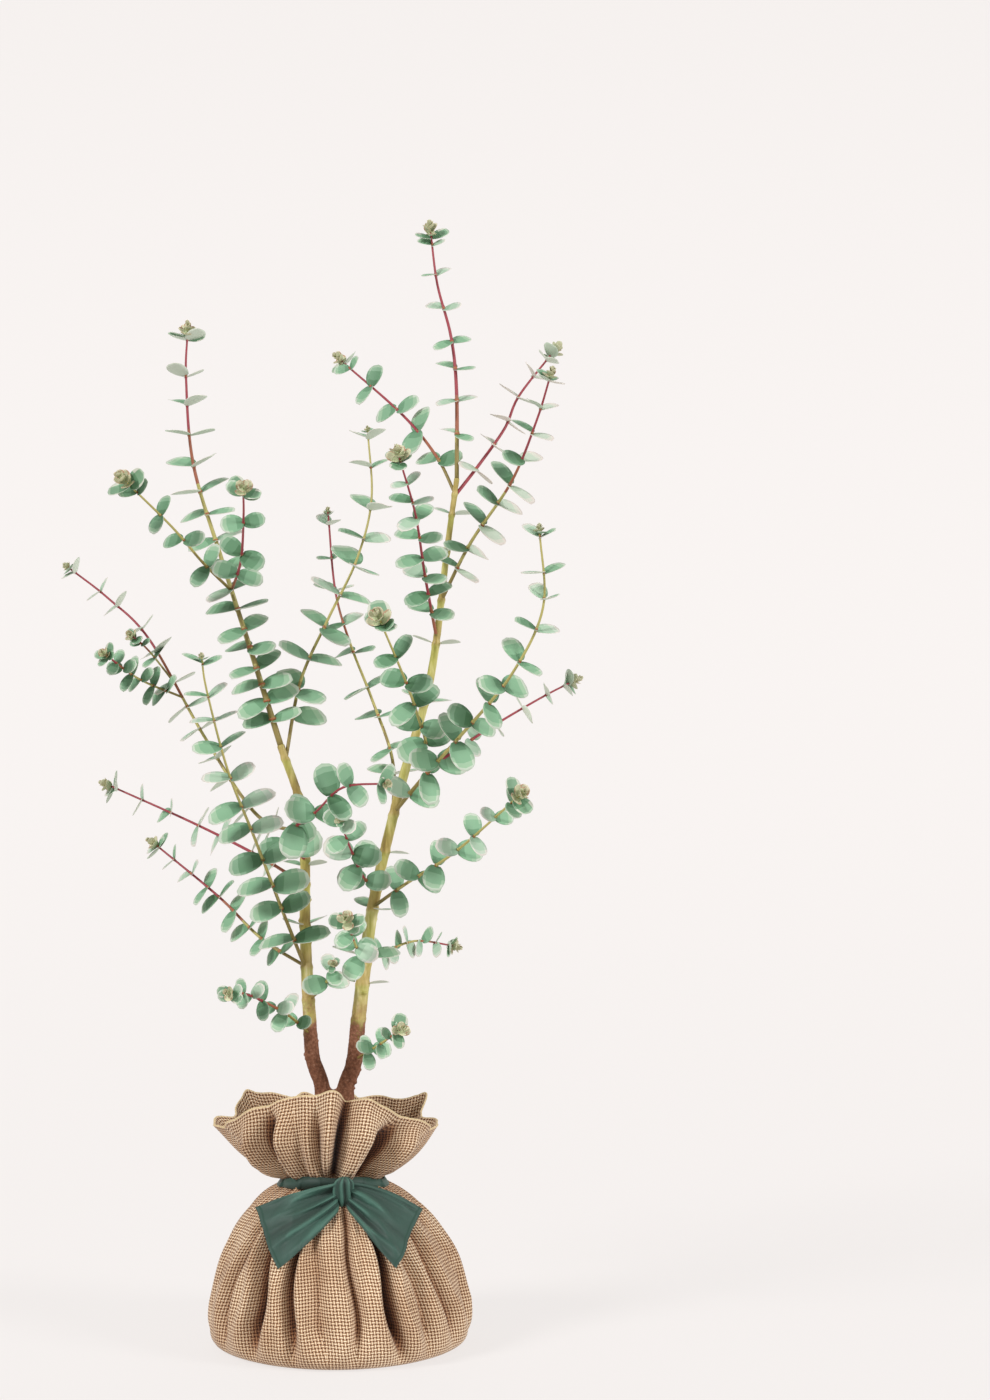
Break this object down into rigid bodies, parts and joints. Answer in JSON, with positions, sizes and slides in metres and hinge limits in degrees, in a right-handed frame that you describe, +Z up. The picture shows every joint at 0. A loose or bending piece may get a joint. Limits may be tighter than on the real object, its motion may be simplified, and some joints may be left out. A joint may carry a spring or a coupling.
{
  "type": "sapling with root ball",
  "caption": "Young eucalyptus sapling with slender stems and round paired leaves, its root ball tied up in a burlap sack with a cloth ribbon bow",
  "frame": {"origin": "the middle of the flat underside of the sack, where it stands on the ground", "axes": "+Z is up along the stems, -Y is the front with the ribbon bow, +X is the side to which the taller stem leans"},
  "size_m": [0.471, 0.3715, 0.9803],
  "materials": {
    "burlap": "coarse open weave",
    "ribbon": "matt woven",
    "bark": "smooth young bark",
    "leaves": "matt, waxy bloom"
  },
  "bodies": {
    "root": {"sack_body": "burlap", "sack_collar": "burlap", "ribbon_band": "ribbon", "ribbon_knot": "ribbon", "ribbon_left_tail": "ribbon", "ribbon_right_tail": "ribbon", "trunk": "bark", "left_stem": "bark", "right_stem": "bark", "left_leader": "leaves", "left_outer_shoot": "leaves", "left_front_shoot": "leaves", "left_back_shoot": "leaves", "left_low_shoot": "leaves", "centre_front_shoot": "leaves", "left_spur": "leaves", "left_bottom_shoot": "leaves", "centre_high_shoot": "leaves", "top_leader": "leaves", "top_left_shoot": "leaves", "top_right_shoot": "leaves", "right_high_shoot": "leaves", "right_inner_shoot": "leaves", "centre_back_shoot": "leaves", "right_front_shoot": "leaves", "right_arch_shoot": "leaves", "centre_low_shoot": "leaves", "right_low_shoot": "leaves", "right_back_shoot": "leaves", "right_spur": "leaves", "right_bottom_shoot": "leaves"}
  },
  "joints": []
}
